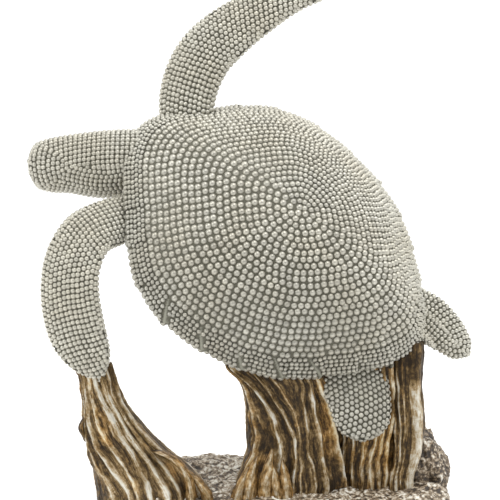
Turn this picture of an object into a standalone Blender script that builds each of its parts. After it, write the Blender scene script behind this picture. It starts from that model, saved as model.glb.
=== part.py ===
"""Turtle statuette: a sea turtle banking over a rock, held up by fluted stems.

Metres, +Z up. The turtle swims towards -X with its back turned to -Y, which is the side it is seen from.
The origin is on the surface that the rock stands on, below the middle of the whole piece.
"""

import math

import bmesh
import bpy
import numpy as np
from mathutils import Matrix, Vector, noise

# Driving dimensions of the shell
SHELL_LENGTH = 0.197
SHELL_WIDTH = 0.173
DOME_HEIGHT = 0.046
BELLY_DEPTH = 0.019
DOME_EDGE_SLOPE = math.radians(56)
BELLY_ROUNDING = 0.55
# The outline's departures from an ellipse, as shares of its reach: the widest part is ahead of the
# middle, and the shoulders are squarer
SHOULDERS = 0.146
OUTLINE_WAVES = {3: 0.016, 4: 0.032, 5: 0.007, 6: 0.019}
# The half that turns away from the viewer is narrower than the near half, by this share
FAR_HALF = 0.85
# The marginal scutes: how far each cuts the rim back, as a share of its reach, how steeply that
# fades towards the middle of the shell, and over what angle it sets in from the head
SCUTES_PER_SIDE = 13
SCUTE_DEPTH = 0.014
SCUTE_EDGE = 8
SCUTES_SET_IN = 0.9

# Driving dimensions of the base
BASE_LENGTH = 0.206
BASE_DEPTH = 0.108
BASE_THICKNESS = 0.020
BASE_CENTRE_X = 0.0150
BOULDER_SIZE = Vector((0.036, 0.052, 0.047))
BOULDER_SET_BACK = 0.012
BOULDER_LIFT = 0.002
# The rock's top as shares of its thickness: its front, its rise to the back, its hill and its lumps
FRONT_SHARE = 0.62
BACK_RISE = 0.42
HILL_RISE = 0.16
BROAD_LUMPS = 0.10
FINE_LUMPS = 0.06
HILL_AT = (-0.030, 0.030)
HILL_SPREAD = (0.030, 0.020)
BROAD_LUMP_SIZE = 0.016
FINE_LUMP_SIZE = 0.007
# How square the rock's plan is, where 2 is an ellipse, and how uneven its edge is, as shares of its reach
PLAN_SQUARENESS = 2.8
EDGE_REACH = 0.965
EDGE_SWELLS = 0.045
EDGE_CHIPS = 0.02
# No part of the boulder comes lower than this share of the rock's thickness
BOULDER_FOOT = 0.2

# The pose: where the middle of the shell's rim is, and how the turtle turns about it
SHELL_OVER_ROCK = 0.137
SHELL_CENTRE = Vector((0.0180, 0.0100, BASE_THICKNESS + SHELL_OVER_ROCK))
CLIMB = math.radians(36.6)
BANK = math.radians(53.8)
YAW = math.radians(6.9)

# The sizes at which the stations below are drawn: the limbs grow with the shell, and each stem
# keeps its foot on the rock and its top in the turtle
DRAWN_SHELL_LENGTH = 0.197
DRAWN_BASE_LENGTH = 0.206
DRAWN_BASE_DEPTH = 0.108
DRAWN_RIM_HEIGHT = 0.0815
DRAWN_FLIPPER_TIP_HEIGHT = 0.077
FIGURE_SCALE = SHELL_LENGTH / DRAWN_SHELL_LENGTH
# The point inside the shell that the limbs' stations are measured from
LIMB_CENTRE = SHELL_CENTRE + Vector((-0.0020, 0, -0.0065)) * FIGURE_SCALE

# The gap that keeps the turtle's solid off the stems that it is glued to
GLUE_GAP = 0.0003

MM = 0.001


def clear_scene():
    for obj in list(bpy.data.objects):
        bpy.data.objects.remove(obj)


def new_collection(name):
    collection = bpy.data.collections.new(name)
    bpy.context.scene.collection.children.link(collection)
    return collection


def material(name, colour, roughness, metallic):
    made = bpy.data.materials.new(name)
    made.use_nodes = True
    shader = made.node_tree.nodes["Principled BSDF"]
    shader.inputs["Base Color"].default_value = (*colour, 1.0)
    shader.inputs["Roughness"].default_value = roughness
    shader.inputs["Metallic"].default_value = metallic
    return made


def object_of(bm, name, collection, finish):
    """The mesh as a smooth shaded object in a collection."""
    bmesh.ops.recalc_face_normals(bm, faces=bm.faces)
    mesh = bpy.data.meshes.new(name)
    bm.to_mesh(mesh)
    bm.free()
    mesh.materials.append(finish)
    mesh.shade_smooth()
    obj = bpy.data.objects.new(name, mesh)
    collection.objects.link(obj)
    return obj


def helper(obj):
    """Marks an object that only joins or cuts another."""
    obj.hide_render = True
    obj.display_type = "WIRE"
    return obj


def smooth_rows(rows, count):
    """Rows of numbers read at even steps from a smooth curve through the given rows."""
    rows = np.array(rows, float)
    steps = np.linalg.norm(np.diff(rows[:, :3], axis=0), axis=1)
    knots = np.concatenate([[0.0], np.cumsum(steps)])
    slopes = np.gradient(rows, knots, axis=0)
    at = np.linspace(0.0, knots[-1], count)
    piece = np.clip(np.searchsorted(knots, at, side="right") - 1, 0, len(rows) - 2)
    span = (knots[piece + 1] - knots[piece])[:, None]
    u = (at - knots[piece])[:, None] / span
    start = (1 + 2 * u) * (1 - u) ** 2 * rows[piece] + u * (1 - u) ** 2 * span * slopes[piece]
    end = u**2 * (3 - 2 * u) * rows[piece + 1] + u**2 * (u - 1) * span * slopes[piece + 1]
    return start + end


def in_triangles(bm):
    """The same skin in triangles, so that it and its moved out copy fold along the same lines."""
    bmesh.ops.triangulate(bm, faces=bm.faces, quad_method="FIXED")
    return bm


def loft(rings):
    """A closed skin over rings of points that each have the same count."""
    bm = bmesh.new()
    rows = [[bm.verts.new(point) for point in ring] for ring in rings]
    for lower, upper in zip(rows, rows[1:]):
        for i, corner in enumerate(lower):
            after = (i + 1) % len(lower)
            bm.faces.new((corner, lower[after], upper[after], upper[i]))
    bm.faces.new(rows[0])
    bm.faces.new(rows[-1])
    return in_triangles(bm)


def turned():
    """The turtle's own axes in the world: forward, left and up, as the columns of a matrix."""
    level = Matrix(((-1, 0, 0), (0, -1, 0), (0, 0, 1)))
    bank = Matrix.Rotation(BANK, 3, "X")
    climb = Matrix.Rotation(CLIMB, 3, "Y")
    yaw = Matrix.Rotation(-YAW, 3, "Z")
    return yaw @ climb @ bank @ level


def outline(turn):
    """The rim's point at an angle from straight ahead, in the turtle's axes: forward and left."""
    ahead = math.cos(turn)
    reach = 1 + SHOULDERS * (ahead - ahead**3)
    reach += sum(size * math.cos(wave * turn) for wave, size in OUTLINE_WAVES.items())
    aside = math.sin(turn) * reach * (1 if turn > 0 else FAR_HALF)
    return ahead * reach * SHELL_LENGTH / 2, aside * SHELL_WIDTH / 2


def scallop(turn):
    """How far the rim is cut back between the points of the marginal scutes, a saw tooth for each."""
    phase = (abs(turn) / math.pi * SCUTES_PER_SIDE) % 1.0
    return SCUTE_DEPTH * (1 - phase) * min(1.0, abs(turn) / SCUTES_SET_IN)


def shell_point(direction, axes):
    """A unit sphere's point moved to the shell: a shallow cap above the rim, a flatter belly below."""
    turn = math.atan2(direction.y, direction.x)
    height = math.asin(max(-1.0, min(1.0, direction.z)))
    ahead, aside = outline(turn)
    if height >= 0:
        slope = DOME_EDGE_SLOPE * (1 - height / (math.pi / 2))
        reach = math.sin(slope) / math.sin(DOME_EDGE_SLOPE)
        rise = (math.cos(slope) - math.cos(DOME_EDGE_SLOPE)) / (1 - math.cos(DOME_EDGE_SLOPE))
        up = DOME_HEIGHT * rise
    else:
        reach = math.cos(height) ** BELLY_ROUNDING
        up = BELLY_DEPTH * math.sin(height)
    reach *= 1 - scallop(turn) * reach**SCUTE_EDGE
    return SHELL_CENTRE + axes @ Vector((ahead * reach, aside * reach, up))


def shell(axes, around=78, steps=16):
    bm = bmesh.new()
    bmesh.ops.create_uvsphere(bm, u_segments=around, v_segments=steps, radius=1.0)
    for vert in bm.verts:
        vert.co = shell_point(vert.co.normalized(), axes)
    return in_triangles(bm)


def limb(stations, face, count=15, around=12):
    """A limb through stations of (x, y, z, half width, half thickness) in mm from the limbs' centre.

    face is the direction that its broad side looks in.
    """
    rows = smooth_rows(stations, count) * MM * FIGURE_SCALE
    centres = rows[:, :3]
    along = np.gradient(centres, axis=0)
    rings = []
    for centre, tangent, (half_width, half_thickness) in zip(centres, along, rows[:, 3:]):
        tangent = Vector(tangent).normalized()
        across = tangent.cross(Vector(face)).normalized()
        normal = across.cross(tangent).normalized()
        middle = LIMB_CENTRE + Vector(centre)
        ring = []
        for i in range(around):
            angle = 2 * math.pi * i / around
            ring.append(
                middle
                + across * (half_width * math.cos(angle))
                + normal * (half_thickness * math.sin(angle))
            )
        rings.append(ring)
    return loft(rings)


def grown(bm, gap):
    """The same skin, moved out so that each of its faces clears the old one by a gap."""
    bmesh.ops.recalc_face_normals(bm, faces=bm.faces)
    bm.normal_update()
    moves = [vert.normal * (gap * vert.calc_shell_factor()) for vert in bm.verts]
    for vert, move in zip(bm.verts, moves):
        vert.co += move
    return bm


# Limb stations in mm from the limbs' centre: x, y, z, half width, half thickness
HEAD = [
    (-66, 12, 47.5, 19, 14),
    (-86, 12, 48, 21, 15),
    (-103, 12, 46.5, 21.5, 16),
    (-112, 11.5, 46.5, 19.5, 15.5),
    (-120.5, 11, 47.5, 17, 14),
    (-129, 10, 46.5, 15, 12.5),
    (-136.5, 9, 45.5, 12, 10.5),
    (-141.5, 8, 44, 8.5, 7.5),
    (-144.5, 8, 44, 3.5, 4),
]
NEAR_FLIPPER = [
    (-60, 4, 12, 13, 7),
    (-75, -2, 17, 13.5, 7),
    (-88, -8, 19, 14, 7),
    (-98, -15, 17, 15, 6.5),
    (-108, -22, 12.5, 16, 6),
    (-116.5, -28, -2, 17, 5),
    (-118.5, -30, -19, 17.5, 5),
    (-116.5, -30, -35.5, 17.5, 4.5),
    (-112, -29, -50.5, 16, 4),
    (-107, -28.5, -60, 12.5, 3.5),
    (-103.5, -28, -67, 7.5, 3),
    (-100.5, -27, -73.5, 2.5, 2.5),
]
FAR_FLIPPER = [
    (-46, 16, 44, 14, 7),
    (-52, 19, 66, 15.5, 7),
    (-53, 20, 80, 16.5, 6.5),
    (-51, 21, 93, 17, 6),
    (-43.5, 22, 109.5, 17, 5),
    (-29, 23, 124, 16, 5),
    (-9, 24, 136.5, 13, 4.5),
    (12, 25, 144.5, 8, 4),
    (26, 25, 147, 4.5, 3),
    (35, 25, 147, 1.5, 2),
]
NEAR_HIND = [
    (38.5, -14, -50, 15, 5.5),
    (42, -20, -64, 19, 5.5),
    (43.5, -23, -72.5, 21, 5),
    (46, -27, -80.5, 20, 5),
    (47.5, -31, -87.5, 18, 4.5),
    (48, -34, -96.5, 15, 4),
    (48, -35, -102, 9.5, 3.5),
    (48, -36, -106, 3.5, 2.5),
]
FAR_HIND = [
    (60, -3, -27, 11, 5),
    (69.5, 0, -29.5, 11.5, 5),
    (79.5, 3, -34.5, 13, 5),
    (87.5, 5, -39, 13, 4.5),
    (96.5, 6, -47.5, 12.5, 4),
    (103.5, 6, -55, 10.5, 4),
    (108.5, 6, -60, 7.5, 3),
    (112.5, 6, -63.5, 2.5, 2.5),
]
TAIL = [
    (68, -6, -38, 6, 5),
    (78, -4, -46, 5, 4.5),
    (85, -3, -51, 3.5, 3.5),
    (90, -3, -55.5, 2, 2.5),
    (92, -3, -57.5, 1, 1),
]

# Every limb with the direction that its broad side looks in
LIMBS = {
    "head": (HEAD, (0, -1, 0)),
    "near_flipper": (NEAR_FLIPPER, (-0.2, -0.95, 0.25)),
    "far_flipper": (FAR_FLIPPER, (-0.1, -0.97, 0.2)),
    "near_hind": (NEAR_HIND, (0.3, -0.9, 0.3)),
    "far_hind": (FAR_HIND, (0.15, -0.95, 0.25)),
    "tail": (TAIL, (0, -1, 0)),
}

# Stem stations in mm: x, y, z, half width, half depth
LEFT_STEM = [
    (-89, -10, 88, 6.5, 5),
    (-88.5, -11, 80, 10, 7),
    (-86, -11, 70, 11.5, 8.5),
    (-82, -11, 59, 14.5, 10),
    (-77, -11, 48, 19, 12),
    (-72, -12, 40, 22.5, 14.5),
    (-66, -12, 31, 27, 18),
    (-60, -13, 22, 30.5, 22),
    (-56, -14, 13, 33, 26),
    (-54.5, -14, 6, 34, 27),
]
MAIN_STEM = [
    (20, -14, 100, 34, 11),
    (17, -14, 87, 31, 11.5),
    (23, -13, 76, 28.5, 12),
    (25, -11, 63, 28, 12),
    (25.5, -9, 50, 27.5, 13),
    (25.5, -8, 38, 27.5, 14),
    (25, -8, 27, 30, 16),
    (24.5, -8, 17, 32.5, 18),
    (24.5, -8, 7, 34, 19),
]
WALL_STEM = [
    (64, -1, 103, 19, 9),
    (66, 0, 80, 20, 10),
    (67, 0, 55, 20, 11),
    (67, 0, 30, 21, 12),
    (67, 0, 8, 23, 14),
]
RIGHT_STEM = [
    (90, 4, 98, 11.5, 7),
    (90.5, 2, 84, 10.5, 7.5),
    (90.5, 0, 72, 9.5, 8),
    (91.5, -2, 58, 10, 8.5),
    (91.5, -3, 45, 10, 9),
    (90, -4, 32, 9.5, 9.5),
    (87, -4, 20, 9.5, 10),
    (87, -4, 7, 11, 12),
]
# Every stem with how many flutes it has and how far they turn round it from top to foot, in radians
STEMS = {
    "left_stem": (LEFT_STEM, 9, 0.9),
    "main_stem": (MAIN_STEM, 11, 0.8),
    "wall_stem": (WALL_STEM, 7, 0.3),
    "right_stem": (RIGHT_STEM, 5, 0.3),
}

# How deep the flutes are cut, as a share of a stem's half depth
FLUTE_DEPTH = 0.16
RIM_STEPS = 36


def rim_height(axes):
    """The height of the shell's lowest edge."""
    turns = [math.pi * step / RIM_STEPS for step in range(RIM_STEPS + 1)]
    return min(shell_point(Vector((math.cos(turn), math.sin(turn), 0)), axes).z for turn in turns)


def stem_stretch(name, axes):
    """How much taller than drawn a stem is, so that it still reaches what it holds up."""
    if name == "left_stem":
        tip = LIMB_CENTRE.z + NEAR_FLIPPER[-1][2] * MM * FIGURE_SCALE
        return tip / DRAWN_FLIPPER_TIP_HEIGHT
    return rim_height(axes) / DRAWN_RIM_HEIGHT


def stem_middle(x, y, up):
    """A station's middle, moved with the rock at the foot and with the turtle at the top."""
    foot_x = BASE_CENTRE_X + (x - BASE_CENTRE_X) * BASE_LENGTH / DRAWN_BASE_LENGTH
    foot_y = y * BASE_DEPTH / DRAWN_BASE_DEPTH
    top_x = SHELL_CENTRE.x + (x - SHELL_CENTRE.x) * FIGURE_SCALE
    top_y = SHELL_CENTRE.y + (y - SHELL_CENTRE.y) * FIGURE_SCALE
    return foot_x + (top_x - foot_x) * up, foot_y + (top_y - foot_y) * up


def stem(stations, flutes, drift, stretch, count=11, points_per_flute=4):
    """A stem through stations, with sharp ridges that run down it and drift round it."""
    rows = smooth_rows(stations, count) * MM
    top = rows[0][2]
    around = flutes * points_per_flute
    rings = []
    for step, (x, y, z, half_width, half_depth) in enumerate(rows):
        middle_x, middle_y = stem_middle(x, y, z / top)
        shift = drift * step / (count - 1)
        ring = []
        for i in range(around):
            angle = 2 * math.pi * i / around
            cut = FLUTE_DEPTH * half_depth * (1 - abs(math.cos(flutes * angle / 2)))
            along_x = middle_x + (half_width - cut) * math.cos(angle + shift)
            along_y = middle_y + (half_depth - cut) * math.sin(angle + shift)
            ring.append(Vector((along_x, along_y, z * stretch)))
        rings.append(ring)
    return loft(rings)


def rock_top(x, y):
    """The rock's height at a place: low in front, rising to the back and to a hill at the left."""
    back = y / BASE_DEPTH + 0.5
    from_hill = zip((x, y), HILL_AT, HILL_SPREAD)
    hill = math.exp(-sum(((place - middle) / spread) ** 2 for place, middle, spread in from_hill))
    broad = noise.noise(Vector((x, y, 0.3)) / BROAD_LUMP_SIZE)
    fine = noise.noise(Vector((x, y, 4.1)) / FINE_LUMP_SIZE)
    share = FRONT_SHARE + BACK_RISE * back + HILL_RISE * hill + BROAD_LUMPS * broad + FINE_LUMPS * fine
    return BASE_THICKNESS * share


def rock_edge(angle):
    """The rock's edge in a direction from its middle: a rounded rectangle with an uneven line."""
    way = Vector((math.cos(angle), math.sin(angle), 0))
    square = (abs(way.x) ** PLAN_SQUARENESS + abs(way.y) ** PLAN_SQUARENESS) ** (-1 / PLAN_SQUARENESS)
    uneven = 1 + EDGE_SWELLS * noise.noise(way * 2.6) + EDGE_CHIPS * noise.noise(way * 9)
    reach = EDGE_REACH * square * uneven
    return way.x * reach * BASE_LENGTH / 2, way.y * reach * BASE_DEPTH / 2


# The rock's side from its underside up: how far out of its edge, and at what share of its height
ROCK_SIDE = [(0.965, 0.0), (1.0, 0.16), (1.01, 0.42), (0.985, 0.72), (0.95, 0.92)]


def rock(around=64, steps=9):
    """A lumpy slab with a flat underside."""
    bm = bmesh.new()
    edge = [rock_edge(2 * math.pi * turn / around) for turn in range(around)]
    shoulder = ROCK_SIDE[-1][0]
    profile = ROCK_SIDE + [(shoulder * (1 - step / steps), 1.0) for step in range(1, steps)]
    rows = []
    for out, share in profile:
        row = []
        for x, y in edge:
            place = (BASE_CENTRE_X + x * out, y * out)
            row.append(bm.verts.new((*place, share * rock_top(*place))))
        rows.append(row)
    for lower, upper in zip(rows, rows[1:]):
        for i in range(around):
            after = (i + 1) % around
            bm.faces.new((lower[i], lower[after], upper[after], upper[i]))
    bm.faces.new(rows[0])
    middle = bm.verts.new((BASE_CENTRE_X, 0, rock_top(BASE_CENTRE_X, 0)))
    for i in range(around):
        bm.faces.new((rows[-1][i], rows[-1][(i + 1) % around], middle))
    return bm


def boulder():
    """The lump at the rock's right end, which stands in the slab."""
    bm = bmesh.new()
    bmesh.ops.create_icosphere(bm, subdivisions=3, radius=1.0)
    end = BASE_CENTRE_X + BASE_LENGTH / 2
    middle = Vector((end - BOULDER_SIZE.x / 2, BOULDER_SET_BACK, BASE_THICKNESS + BOULDER_LIFT))
    for vert in bm.verts:
        way = vert.co.normalized()
        lumps = 1 + 0.10 * noise.noise(way * 1.9) + 0.06 * noise.noise(way * 5.3)
        reach = Vector(size / 2 * share for size, share in zip(BOULDER_SIZE, way))
        vert.co = middle + reach * lumps
        vert.co.z = max(vert.co.z, BOULDER_FOOT * BASE_THICKNESS)
    return bm


def boolean(obj, name, operation, operands):
    """Joins or cuts an object with all the objects in a collection."""
    made = obj.modifiers.new(name, "BOOLEAN")
    made.operation = operation
    made.solver = "EXACT"
    made.operand_type = "COLLECTION"
    made.collection = operands


def main():
    clear_scene()
    beads = material("beads", (0.36, 0.35, 0.30), 0.30, 0.85)
    cast = material("cast_rock", (0.20, 0.15, 0.10), 0.55, 0.0)
    figure = new_collection("turtle_statuette")
    turtle_parts = new_collection("turtle_helpers")
    base_parts = new_collection("base_helpers")
    clearance = new_collection("clearance_helpers")
    axes = turned()

    turtle = object_of(shell(axes), "turtle", figure, beads)
    for name, (stations, face) in LIMBS.items():
        helper(object_of(limb(stations, face), "helper_" + name, turtle_parts, beads))
    boolean(turtle, "join_limbs", "UNION", turtle_parts)

    base = object_of(rock(), "base", figure, cast)
    helper(object_of(boulder(), "helper_boulder", base_parts, cast))
    for name, (stations, flutes, drift) in STEMS.items():
        made = stem(stations, flutes, drift, stem_stretch(name, axes))
        helper(object_of(made, "helper_" + name, base_parts, cast))
    boolean(base, "join_stems", "UNION", base_parts)

    # The turtle's skins moved out by the gap, which clear their own room in the stems
    helper(object_of(grown(shell(axes), GLUE_GAP), "clear_shell", clearance, cast))
    for name, (stations, face) in LIMBS.items():
        helper(object_of(grown(limb(stations, face), GLUE_GAP), "clear_" + name, clearance, cast))
    boolean(base, "clear_turtle", "DIFFERENCE", clearance)


main()
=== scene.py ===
"""The looks of the turtle statuette: beaded skins over the turtle, fluted stems and a granular rock.

Lengths are in millimetres until a mesh is made, and then in metres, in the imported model's frame.
"""

import math

import bpy
import numpy as np
from mathutils import Matrix, Vector, noise
from mathutils.bvhtree import BVHTree


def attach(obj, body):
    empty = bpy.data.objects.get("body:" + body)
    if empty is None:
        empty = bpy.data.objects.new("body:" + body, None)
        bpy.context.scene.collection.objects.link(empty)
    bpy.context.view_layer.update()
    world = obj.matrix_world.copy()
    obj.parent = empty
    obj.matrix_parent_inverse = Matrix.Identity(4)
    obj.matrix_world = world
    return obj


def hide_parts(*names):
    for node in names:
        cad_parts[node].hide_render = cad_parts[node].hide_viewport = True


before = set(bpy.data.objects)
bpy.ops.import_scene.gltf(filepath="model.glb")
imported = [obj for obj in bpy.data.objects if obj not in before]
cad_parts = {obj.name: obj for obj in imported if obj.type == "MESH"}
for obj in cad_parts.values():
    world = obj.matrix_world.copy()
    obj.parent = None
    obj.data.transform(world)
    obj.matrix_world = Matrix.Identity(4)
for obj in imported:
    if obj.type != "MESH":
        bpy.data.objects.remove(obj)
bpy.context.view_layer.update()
rng = np.random.default_rng(7)
MM = 0.001

# The turtle's pose and shell, as in the solids
SHELL_LENGTH = 197.0
SHELL_WIDTH = 173.0
DOME_HEIGHT = 46.0
BELLY_DEPTH = 19.0
DOME_EDGE_SLOPE = math.radians(56)
BELLY_ROUNDING = 0.55
SHOULDERS = 0.146
OUTLINE_WAVES = {3: 0.016, 4: 0.032, 5: 0.007, 6: 0.019}
FAR_HALF = 0.85
SCUTES_PER_SIDE = 12
FIRST_SCUTE = math.radians(2)
SCUTE_DEPTH = 0.014
SCUTE_EDGE = 8
SCUTES_SET_IN = 0.9
BASE_LENGTH = 206.0
BASE_DEPTH = 108.0
BASE_THICKNESS = 20.0
BASE_CENTRE_X = 15.0
SHELL_CENTRE = np.array((18.0, 10.0, 157.0))
LIMB_CENTRE = np.array((16.0, 10.0, 150.5))
AXES = np.array(
    Matrix.Rotation(-math.radians(6.9), 3, "Z")
    @ Matrix.Rotation(math.radians(36.6), 3, "Y")
    @ Matrix.Rotation(math.radians(53.8), 3, "X")
    @ Matrix(((-1, 0, 0), (0, -1, 0), (0, 0, 1)))
)

# How deep the skin between the beads lies below the beads' tops, and on the limbs
SKIN_DEPTH = 1.35
LIMB_SKIN_DEPTH = SKIN_DEPTH * 0.85


def placed(name, data):
    obj = bpy.data.objects.new(name, data)
    bpy.context.scene.collection.objects.link(obj)
    return obj


def mesh_of(name, points, faces, values=None):
    """A piece from points in mm and lists of corners, with a value per point for each named attribute."""
    mesh = bpy.data.meshes.new(name)
    mesh.from_pydata((np.asarray(points, float) * MM).tolist(), [], faces)
    for key, value in (values or {}).items():
        value = np.asarray(value, np.float32)
        kind = "FLOAT" if value.ndim == 1 else "FLOAT_VECTOR"
        data = mesh.attributes.new(key, kind, "POINT").data
        data.foreach_set("value" if value.ndim == 1 else "vector", value.ravel())
    mesh.shade_smooth()
    mesh.update()
    return placed(name, mesh)


def wrapped(rows, around):
    """The quads of a skin over rows of points, each row a ring, and a cap on the first and last row."""
    faces = []
    for row in range(rows - 1):
        for i in range(around):
            after = (i + 1) % around
            at = row * around
            faces.append((at + i, at + after, at + around + after, at + around + i))
    faces.append(tuple(range(around - 1, -1, -1)))
    faces.append(tuple((rows - 1) * around + i for i in range(around)))
    return faces


def outward(points, faces):
    """The faces turned so that the skin's volume is positive."""
    points = np.asarray(points)
    middle = points.mean(0)
    total = 0.0
    for face in faces[:: max(1, len(faces) // 4000)]:
        a, b, c = (points[i] - middle for i in face[:3])
        total += np.dot(a, np.cross(b, c))
    return faces if total > 0 else [tuple(reversed(face)) for face in faces]


def skin_normals(points, faces):
    """A skin's own normals at its points."""
    probe = bpy.data.meshes.new("probe")
    probe.from_pydata(np.asarray(points).tolist(), [], faces)
    normals = np.zeros(len(probe.vertices) * 3, np.float32)
    probe.vertices.foreach_get("normal", normals)
    bpy.data.meshes.remove(probe)
    return normals.reshape(-1, 3)


def smooth_rows(rows, count):
    """Rows of numbers read at even steps from a smooth curve through the given rows."""
    rows = np.array(rows, float)
    knots = lengths_along(rows[:, :3])
    slopes = np.gradient(rows, knots, axis=0)
    at = np.linspace(0.0, knots[-1], count)
    piece = np.clip(np.searchsorted(knots, at, side="right") - 1, 0, len(rows) - 2)
    span = (knots[piece + 1] - knots[piece])[:, None]
    u = (at - knots[piece])[:, None] / span
    start = (1 + 2 * u) * (1 - u) ** 2 * rows[piece] + u * (1 - u) ** 2 * span * slopes[piece]
    end = u**2 * (3 - 2 * u) * rows[piece + 1] + u**2 * (u - 1) * span * slopes[piece + 1]
    return start + end


def lengths_along(line):
    """How far each point of a line is from its first one, along the line."""
    return np.concatenate([[0.0], np.cumsum(np.linalg.norm(np.diff(line, axis=0), axis=1))])


def unit(v):
    return v / np.maximum(np.linalg.norm(v, axis=-1, keepdims=True), 1e-9)


def held(value):
    """A value, kept between 0 and 1."""
    return min(1.0, max(0.0, value))


def ripple(*place):
    """Smooth noise at a place."""
    return noise.noise(Vector(place))


# The shell
# How far apart places are read to find the shell's slope
STEP = 0.004


def shell_points(turn, height):
    """The shell's surface: height is 0 at the rim, 1 at the top of the dome and -1 under the belly."""
    turn, height = np.broadcast_arrays(np.asarray(turn, float), np.asarray(height, float))
    ahead = np.cos(turn)
    reach = 1 + SHOULDERS * (ahead - ahead**3)
    for wave, size in OUTLINE_WAVES.items():
        reach = reach + size * np.cos(wave * turn)
    side = np.where(np.sin(turn) > 0, 1.0, FAR_HALF)
    forward = ahead * reach * SHELL_LENGTH / 2
    left = np.sin(turn) * reach * side * SHELL_WIDTH / 2
    slope = DOME_EDGE_SLOPE * (1 - np.clip(height, 0, 1))
    dome = np.sin(slope) / math.sin(DOME_EDGE_SLOPE)
    rise = (np.cos(slope) - math.cos(DOME_EDGE_SLOPE)) / (1 - math.cos(DOME_EDGE_SLOPE))
    down = np.clip(-height, 0, 1) * math.pi / 2
    share = np.where(height >= 0, dome, np.maximum(np.cos(down), 0) ** BELLY_ROUNDING)
    up = np.where(height >= 0, DOME_HEIGHT * rise, -BELLY_DEPTH * np.sin(down))
    phase = ((np.abs(turn) - FIRST_SCUTE) / math.pi * SCUTES_PER_SIDE) % 1.0
    cut = SCUTE_DEPTH * (1 - phase) * np.minimum(1.0, np.abs(turn) / SCUTES_SET_IN)
    share = share * (1 - cut * share**SCUTE_EDGE)
    local = np.stack([forward * share, left * share, up], -1)
    return SHELL_CENTRE + local @ AXES.T


def shell_normals(turn, height):
    over = np.asarray(height) >= 0
    along = shell_points(turn + STEP, height) - shell_points(turn - STEP, height)
    low = np.maximum(height - STEP, np.where(over, 0, -0.999))
    high = np.minimum(height + STEP, np.where(over, 0.999, -1e-6))
    across = shell_points(turn, high) - shell_points(turn, low)
    return unit(np.cross(along, across))


# Limb stations in mm from the limbs' centre: x, y, z, half width, half thickness
LIMBS = {
    "head": ((0, -1, 0), [
        (-66, 12, 49, 20, 14), (-90, 12, 49, 20.2, 15), (-99, 12, 48.5, 20.2, 15.5),
        (-108, 11.8, 48.4, 19.4, 15.5), (-122.6, 11, 48.7, 17.1, 14.5),
        (-132.7, 9.5, 48, 15.8, 12), (-138.5, 8.5, 47.7, 14, 10.5), (-142.5, 8, 47, 12, 8.5),
        (-144.8, 8, 46.7, 10, 7),
    ]),
    "near_flipper": ((-0.2, -0.95, 0.25), [
        (-60, 4, 12, 13, 7), (-75, -2, 17, 13.5, 7), (-88, -8, 19, 14, 7),
        (-98, -15, 17, 15, 6.5), (-108, -22, 12.5, 16, 6), (-116.5, -28, -2, 17, 5),
        (-118.5, -30, -19, 17.5, 5), (-116.5, -30, -35.5, 17.5, 4.5), (-112, -29, -50.5, 16, 4),
        (-107, -28.5, -60, 12.5, 3.5), (-103.5, -28, -67, 7.5, 3),
        (-100.5, -27, -73.5, 2.5, 2.5),
    ]),
    "far_flipper": ((-0.1, -0.97, 0.2), [
        (-46, 16, 44, 14, 7), (-52, 19, 66, 15.5, 7), (-53, 20, 80, 16.5, 6.5),
        (-51, 21, 93, 17, 6), (-43.5, 22, 109.5, 17, 5), (-29, 23, 124, 16, 5),
        (-9, 24, 136.5, 13, 4.5), (12, 25, 144.5, 8, 4), (26, 25, 147, 4.5, 3),
        (35, 25, 147, 1.5, 2),
    ]),
    "near_hind": ((0.3, -0.9, 0.3), [
        (38.5, -14, -50, 15, 5.5), (42, -20, -64, 19, 5.5), (43.5, -23, -72.5, 21, 5),
        (46, -27, -80.5, 20, 5), (47.5, -31, -87.5, 18.8, 4.5), (48, -34, -96.5, 16.2, 4),
        (48, -35, -102, 11.5, 3.5), (48, -36, -106, 4.5, 2.5),
    ]),
    "far_hind": ((0.15, -0.95, 0.25), [
        (60, -3, -27, 11, 5), (69.5, 0, -29.5, 11.5, 5), (79.5, 3, -34.5, 13, 5),
        (87.5, 5, -39, 13, 4.5), (96.5, 6, -47.5, 12.5, 4), (103.5, 6, -55, 10.5, 4),
        (108.5, 6, -60, 7.5, 3), (112.5, 6, -63.5, 2.5, 2.5),
    ]),
    "tail": ((0, -1, 0), [
        (68, -6, -38, 6, 5), (78, -4, -46, 5, 4.5), (85, -3, -51, 3.5, 3.5),
        (90, -3, -55.5, 2, 2.5), (92, -3, -57.5, 1, 1),
    ]),
}
# How each limb's beads lie: pitch along and across the rows, bead radius, the rows' turn in degrees,
# whether the rows follow the limb's outline, and whether every second row is set over by half a pitch
BEAD_LAY = {
    "head": (2.85, 2.75, 1.60, 0, True, False),
    "near_flipper": (3.05, 2.75, 1.64, 0, False, True),
    "far_flipper": (3.05, 2.75, 1.64, 0, False, True),
    "near_hind": (3.30, 2.93, 1.58, 9, False, True),
    "far_hind": (2.9, 2.7, 1.56, 0, True, False),
    "tail": (2.5, 2.4, 1.36, 0, False, True),
}
# A hole gets a bead where it is this share of the pitch from its neighbours
HOLE = 0.79
# No bead sits nearer than this to a limb's last point
TIP = 0.12
# Limbs whose beads carry painted shade, darker in steps of 6 % of their colour
BEAD_PAINTED_SHADE = {"head": -1.3, "near_hind": -2.6}
STATIONS = 111
TURNS = 129
# A limb's direction is taken over this share of its length
BEND_SPREAD = 0.12
# How many of its last stations draw a limb's end in
END_STATIONS = 9.0
# The steps in mm of a bead lattice's outline and of its rows
OUTLINE_STEP, FACE_STEP = 0.5, 0.4
# How much of a pitch beads keep from the outline's beads, and rows and slanted rows from the outline
OUTLINE_ROOM, ROW_ROOM, SLANT_ROOM = 0.78, 0.72, 0.3
# How much nearer to the outline than its pitch a row that follows it may come, in mm
RING_SLACK = 0.35
# Stands for a place that no slit or bead is near
FAR = 99.0
# Places tried across a limb for a hole
TRIES_ACROSS = 61


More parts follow.
